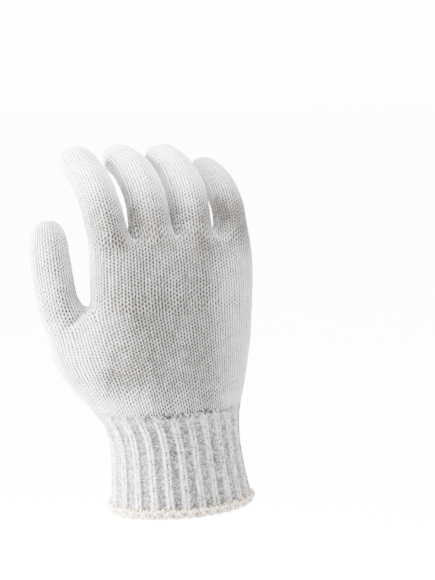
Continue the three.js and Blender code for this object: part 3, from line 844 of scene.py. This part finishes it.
def overlocked_edge():
    """Thread wrapped round the end of the cuff, with a chain of loops along its outside."""
    wrap = thread_loop("edge_wrap", WRAP_THREAD, 18)
    link = thread_loop("edge_link", LINK_THREAD, 26)
    copies = []
    for step in range(WRAPS):
        middle, out, forward = edge_place(step, WRAPS)
        swing = math.radians(24 + 7 * math.sin(step * 2.3))
        swell = 1 + 0.06 * math.sin(step * 2 * math.pi * LINKS / WRAPS) + 0.03 * math.sin(step * 1.7)
        tangent = forward * math.cos(swing) + UP * math.sin(swing)
        up = out.cross(tangent)
        turn = Matrix((out, up, tangent)).transposed().to_4x4()
        sizes = Matrix.Diagonal((1.8 * swell, 2.2 * swell, 1.85, 1))
        copies.append(placed_copy(wrap, Matrix.Translation(middle) @ turn @ sizes))
    for step in range(LINKS):
        middle, out, forward = edge_place(step, LINKS)
        swing = math.radians(-17 + 6 * math.sin(step * 1.9))
        lift = 0.2 + 0.35 * math.sin(step * 2.7)
        side = forward * math.cos(swing) + UP * math.sin(swing)
        side = (side - out * 0.16).normalized()
        front = side.cross(UP).normalized()
        up = front.cross(side)
        turn = Matrix((side, up, front)).transposed().to_4x4()
        sizes = Matrix.Diagonal((3.3, 1.42 + 0.14 * math.sin(step * 3.1), 1.15, 1))
        place = Matrix.Translation(middle + out * LINK_OUTWARD + UP * lift)
        copies.append(placed_copy(link, place @ turn @ sizes))
    for loop in (wrap, link):
        bpy.data.objects.remove(loop)
    for copy in copies:
        copy.select_set(True)
    bpy.context.view_layer.objects.active = copies[0]
    bpy.ops.object.join()
    edge = bpy.context.object
    edge.name = "cuff_edge_thread"
    edge.data.name = "cuff_edge_thread"
    edge.data.transform(Matrix.Diagonal((MM, MM, MM, 1)))
    remesh = edge.modifiers.new("one skin", "REMESH")
    remesh.mode = "VOXEL"
    remesh.voxel_size = THREAD_GRAIN * MM
    bpy.ops.object.modifier_apply(modifier=remesh.name)
    bpy.ops.object.shade_smooth()
    place = np.zeros(len(edge.data.vertices) * 3)
    edge.data.vertices.foreach_get("co", place)
    place = place.reshape(-1, 3) / MM
    flat, normal = cuff_walk(0, 720)
    line = flat - normal * EDGE_INSET
    nearest = np.array([np.argmin(((line - p) ** 2).sum(1)) for p in place[:, :2]])
    aside = ((place[:, :2] - line[nearest]) * normal[nearest]).sum(1)
    # Painted shade: skin near the cord's core, in the crevices between the wraps and under the links, gets
    # low relief and the dark gap tone
    reach = np.hypot(aside / (EDGE_THICKNESS / 2), (place[:, 2] / EDGE_HEIGHT - 0.5) * 2)
    relief = np.clip((reach - 0.84) / 0.3, 0, 1)
    edge.data.attributes.new("relief", "FLOAT", "POINT").data.foreach_set("value", relief.astype(np.float32))
    bpy.ops.object.select_all(action="DESELECT")
    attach(edge, "root")
    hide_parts("cuff_edge")
    return edge


def yarn_group():
    """Node group: the tone of yarn over its relief, with painted shade darkening its gaps, and the height of
    its fibres.
    """
    group = bpy.data.node_groups.new("yarn tone, painted gap shade and fibres", "ShaderNodeTree")
    face = group.interface
    for name, kind, value in (
        ("Yarn", "NodeSocketColor", (0.8, 0.8, 0.8, 1)),
        ("Gap Shade", "NodeSocketColor", (0.2, 0.2, 0.2, 1)),
        ("Gap Reach", "NodeSocketFloat", 0.7),
        ("Patch Size", "NodeSocketFloat", 60.0),
        ("Patch Strength", "NodeSocketFloat", 0.12),
        ("Fibre Size", "NodeSocketFloat", 2600.0),
    ):
        socket = face.new_socket(name, in_out="INPUT", socket_type=kind)
        socket.default_value = value
    face.new_socket("Colour", in_out="OUTPUT", socket_type="NodeSocketColor")
    face.new_socket("Roughness", in_out="OUTPUT", socket_type="NodeSocketFloat")
    face.new_socket("Height", in_out="OUTPUT", socket_type="NodeSocketFloat")
    nodes, links = group.nodes, group.links
    given = nodes.new("NodeGroupInput")
    out = nodes.new("NodeGroupOutput")
    relief = nodes.new("ShaderNodeAttribute")
    relief.attribute_name = "relief"
    coords = nodes.new("ShaderNodeTexCoord")
    # Painted shade: low relief blends the tone toward the dark gap colour
    reach = nodes.new("ShaderNodeMapRange")
    reach.interpolation_type = "SMOOTHSTEP"
    links.new(relief.outputs["Fac"], reach.inputs["Value"])
    links.new(given.outputs["Gap Reach"], reach.inputs["From Max"])
    tone = nodes.new("ShaderNodeMix")
    tone.data_type = "RGBA"
    links.new(reach.outputs["Result"], tone.inputs["Factor"])
    links.new(given.outputs["Gap Shade"], tone.inputs["A"])
    links.new(given.outputs["Yarn"], tone.inputs["B"])
    patch = nodes.new("ShaderNodeTexNoise")
    patch.inputs["Detail"].default_value = 3
    links.new(coords.outputs["Object"], patch.inputs["Vector"])
    links.new(given.outputs["Patch Size"], patch.inputs["Scale"])
    patch_step = nodes.new("ShaderNodeMath")
    patch_step.operation = "SUBTRACT"
    patch_step.inputs[1].default_value = 0.5
    links.new(patch.outputs["Fac"], patch_step.inputs[0])
    patch_share = nodes.new("ShaderNodeMath")
    patch_share.operation = "MULTIPLY_ADD"
    patch_share.inputs[2].default_value = 1.0
    links.new(patch_step.outputs["Value"], patch_share.inputs[0])
    links.new(given.outputs["Patch Strength"], patch_share.inputs[1])
    fibre = nodes.new("ShaderNodeTexNoise")
    fibre.inputs["Detail"].default_value = 4
    fibre.inputs["Roughness"].default_value = 0.65
    links.new(coords.outputs["Object"], fibre.inputs["Vector"])
    links.new(given.outputs["Fibre Size"], fibre.inputs["Scale"])
    fleck = nodes.new("ShaderNodeMapRange")
    fleck.inputs["From Min"].default_value = 0.3
    fleck.inputs["From Max"].default_value = 0.7
    fleck.inputs["To Min"].default_value = 0.9
    fleck.inputs["To Max"].default_value = 1.04
    links.new(fibre.outputs["Fac"], fleck.inputs["Value"])
    both = nodes.new("ShaderNodeMath")
    both.operation = "MULTIPLY"
    links.new(patch_share.outputs["Value"], both.inputs[0])
    links.new(fleck.outputs["Result"], both.inputs[1])
    shaded = nodes.new("ShaderNodeVectorMath")
    shaded.operation = "SCALE"
    links.new(tone.outputs["Result"], shaded.inputs[0])
    links.new(both.outputs["Value"], shaded.inputs["Scale"])
    rough = nodes.new("ShaderNodeMapRange")
    rough.inputs["To Min"].default_value = 0.86
    rough.inputs["To Max"].default_value = 1.0
    links.new(fibre.outputs["Fac"], rough.inputs["Value"])
    links.new(shaded.outputs["Vector"], out.inputs["Colour"])
    links.new(rough.outputs["Result"], out.inputs["Roughness"])
    links.new(fibre.outputs["Fac"], out.inputs["Height"])
    return group


def yarn_material(name, group, yarn, gap_shade, gap_shade_reach, fibre_size, bump):
    """Matt cotton yarn with painted shade in its gaps and a fibrous surface."""
    material = bpy.data.materials.new(name)
    material.use_nodes = True
    nodes, links = material.node_tree.nodes, material.node_tree.links
    shader = nodes["Principled BSDF"]
    look = nodes.new("ShaderNodeGroup")
    look.node_tree = group
    look.inputs["Yarn"].default_value = (*yarn, 1)
    look.inputs["Gap Shade"].default_value = (*gap_shade, 1)
    look.inputs["Gap Reach"].default_value = gap_shade_reach
    look.inputs["Fibre Size"].default_value = fibre_size
    fibres = nodes.new("ShaderNodeBump")
    fibres.inputs["Distance"].default_value = 0.0004
    fibres.inputs["Strength"].default_value = bump
    links.new(look.outputs["Colour"], shader.inputs["Base Color"])
    links.new(look.outputs["Roughness"], shader.inputs["Roughness"])
    links.new(look.outputs["Height"], fibres.inputs["Height"])
    links.new(fibres.outputs["Normal"], shader.inputs["Normal"])
    shader.inputs["Sheen Weight"].default_value = 0.25
    shader.inputs["Sheen Roughness"].default_value = 0.6
    shader.inputs["Specular IOR Level"].default_value = 0.15
    return material


def soft_light(name, place, aim, size, power):
    """A square studio softbox that faces a point."""
    bpy.ops.object.light_add(type="AREA", location=place)
    light = bpy.context.object
    light.name = name
    light.data.size = size
    light.data.energy = power
    light.rotation_euler = (Vector(aim) - Vector(place)).to_track_quat("-Z", "Y").to_euler()
    bpy.ops.object.select_all(action="DESELECT")


# Camera first: it stands 25 degrees round toward the thumb's side and 8.5 degrees above
target = Vector((18.94, -8.83, 127.0)) * MM
turned, above = math.radians(25), math.radians(8.5)
sight = Vector((math.sin(turned) * math.cos(above), math.cos(turned) * math.cos(above), -math.sin(above)))
bpy.ops.object.camera_add(location=target - sight * (CAMERA_DISTANCE * MM))
camera = bpy.context.object
camera.rotation_euler = sight.to_track_quat("-Z", "Y").to_euler()
camera.data.sensor_width = SENSOR
camera.data.lens = SENSOR * CAMERA_DISTANCE / (PHOTO_HEIGHT / PHOTO_SCALE)
bpy.context.scene.camera = camera
bpy.ops.object.select_all(action="DESELECT")

# The knitting
cage = hand_cage()
skin_points, skin_outward, grids = skin_grids(cage)
knits = [knitted_piece(name, cage, skin_points, skin_outward, grids)
         for name in ("hand_body", "thumb", "index_finger", "middle_finger", "ring_finger", "little_finger")]
cuff = ribbed_cuff()
edge = overlocked_edge()

# Finishes
yarn_look = yarn_group()
# The gap colours are painted shade: dark tones laid on the holes, furrows and crevices of the yarn
white_knit = yarn_material(
    "white cotton knit", yarn_look, (0.87, 0.865, 0.86), (0.035, 0.028, 0.023), 0.85, 2600, 0.5)
white_rib = yarn_material(
    "white cotton ribbing", yarn_look, (0.76, 0.755, 0.75), (0.034, 0.03, 0.027), 0.97, 2600, 0.5)
cream_thread = yarn_material(
    "cream overlock thread", yarn_look, (0.78, 0.69, 0.56), (0.26, 0.18, 0.11), 0.8, 2200, 0.6)
for piece in knits:
    piece.data.materials.append(white_knit)
cuff.data.materials.append(white_rib)
edge.data.materials.append(cream_thread)

# Pale studio: a wide floor well below, a bright even surround and soft lights
bpy.ops.mesh.primitive_plane_add(size=30, location=(0, 0, -0.35))
floor = bpy.context.object
floor.name = "studio_floor"
floor_material = bpy.data.materials.new("pale studio floor")
floor_material.use_nodes = True
floor_nodes, floor_links = floor_material.node_tree.nodes, floor_material.node_tree.links
floor_shader = floor_nodes["Principled BSDF"]
floor_shader.inputs["Base Color"].default_value = (0.93, 0.93, 0.93, 1)
floor_shader.inputs["Roughness"].default_value = 0.9
floor_shader.inputs["Emission Color"].default_value = (1, 1, 1, 1)
floor_seen = floor_nodes.new("ShaderNodeLightPath")
floor_glow = floor_nodes.new("ShaderNodeMath")
floor_glow.operation = "MULTIPLY"
floor_glow.inputs[1].default_value = 13
floor_links.new(floor_seen.outputs["Is Camera Ray"], floor_glow.inputs[0])
floor_links.new(floor_glow.outputs["Value"], floor_shader.inputs["Emission Strength"])
floor.data.materials.append(floor_material)
bpy.ops.object.select_all(action="DESELECT")

world = bpy.data.worlds.new("pale studio")
bpy.context.scene.world = world
world.use_nodes = True
world_nodes, world_links = world.node_tree.nodes, world.node_tree.links
surround = world_nodes["Background"]
surround.inputs["Color"].default_value = (1, 1, 1, 1)
surround.inputs["Strength"].default_value = 0.22
backdrop = world_nodes.new("ShaderNodeBackground")
backdrop.inputs["Color"].default_value = (1, 1, 1, 1)
backdrop.inputs["Strength"].default_value = 14
seen = world_nodes.new("ShaderNodeLightPath")
mixed = world_nodes.new("ShaderNodeMixShader")
world_links.new(seen.outputs["Is Camera Ray"], mixed.inputs["Fac"])
world_links.new(surround.outputs["Background"], mixed.inputs[1])
world_links.new(backdrop.outputs["Background"], mixed.inputs[2])
world_links.new(mixed.outputs["Shader"], world_nodes["World Output"].inputs["Surface"])

camera_left = Vector((-math.cos(turned), math.sin(turned), 0))
toward_camera = Vector((-math.sin(turned), -math.cos(turned), 0))
middle = Vector((-0.015, 0.01, 0.11))


def studio(left, toward, up):
    """Place round the middle of the glove, as seen from the camera."""
    return middle + camera_left * left + toward_camera * toward + Vector((0, 0, up))


for name, place, size, power in SOFTBOXES:
    soft_light(name, studio(*place), middle, size, power)
